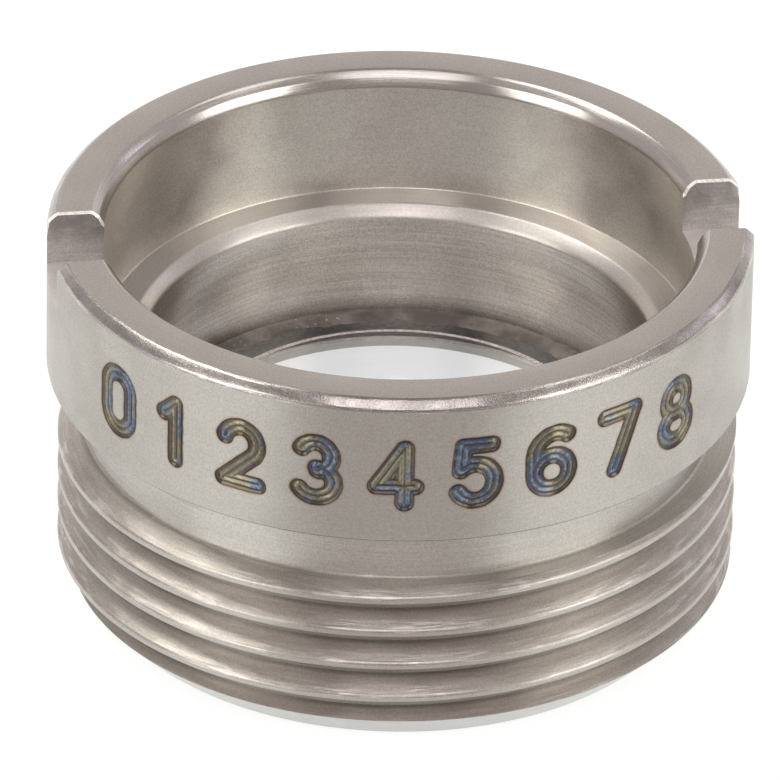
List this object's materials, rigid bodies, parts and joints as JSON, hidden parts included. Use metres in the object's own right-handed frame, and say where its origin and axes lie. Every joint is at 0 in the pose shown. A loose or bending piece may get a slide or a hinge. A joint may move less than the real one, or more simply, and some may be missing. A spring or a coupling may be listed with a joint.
{
  "type": "mounted aspheric lens",
  "caption": "Small moulded aspheric lens glued in a threaded stainless steel cell with a slotted collar.",
  "frame": {"origin": "centre of the cell's threaded end face, on the optical axis", "axes": "+Z along the optical axis from the threaded end towards the slotted collar, the two spanner slots lie along X"},
  "size_m": [0.0094, 0.0094, 0.0055],
  "materials": {
    "cell_steel": "fine turned, dull",
    "lens_glass": "polished, coated",
    "bond_adhesive": "cured, glossy"
  },
  "bodies": {
    "root": {"lens_cell": "cell_steel", "aspheric_lens": "lens_glass", "bond_ring": "bond_adhesive"}
  },
  "joints": []
}
